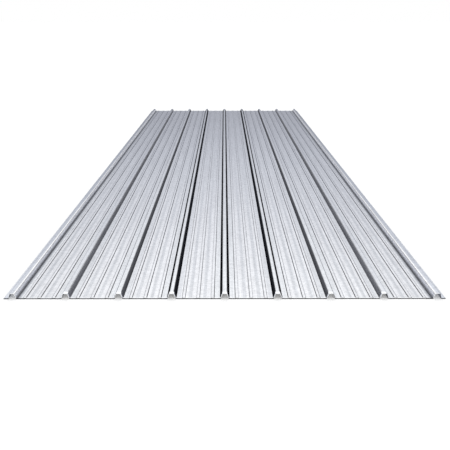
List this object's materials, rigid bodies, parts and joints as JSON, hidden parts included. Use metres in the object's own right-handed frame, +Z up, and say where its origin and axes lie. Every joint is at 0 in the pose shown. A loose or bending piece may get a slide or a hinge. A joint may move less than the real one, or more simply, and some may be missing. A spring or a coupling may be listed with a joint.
{
  "type": "ribbed metal roofing sheet",
  "caption": "Long flat galvanised steel sheet, roll-formed lengthwise with narrow trapezoidal ribs and low stiffening ridges in the pans between them, for roofs and walls.",
  "frame": {"origin": "middle of the plane that the sheet rests on, under the centre rib at half length", "axes": "+Y along the ribs, +X across the sheet, +Z up out of the crests"},
  "size_m": [0.916, 2.44, 0.013],
  "materials": {
    "galvanised_steel": "hot-dip galvanised steel, small spangle, semi-bright, with faint lengthwise roll marks"
  },
  "bodies": {
    "root": {"ribbed_sheet": "galvanised_steel"}
  },
  "joints": []
}
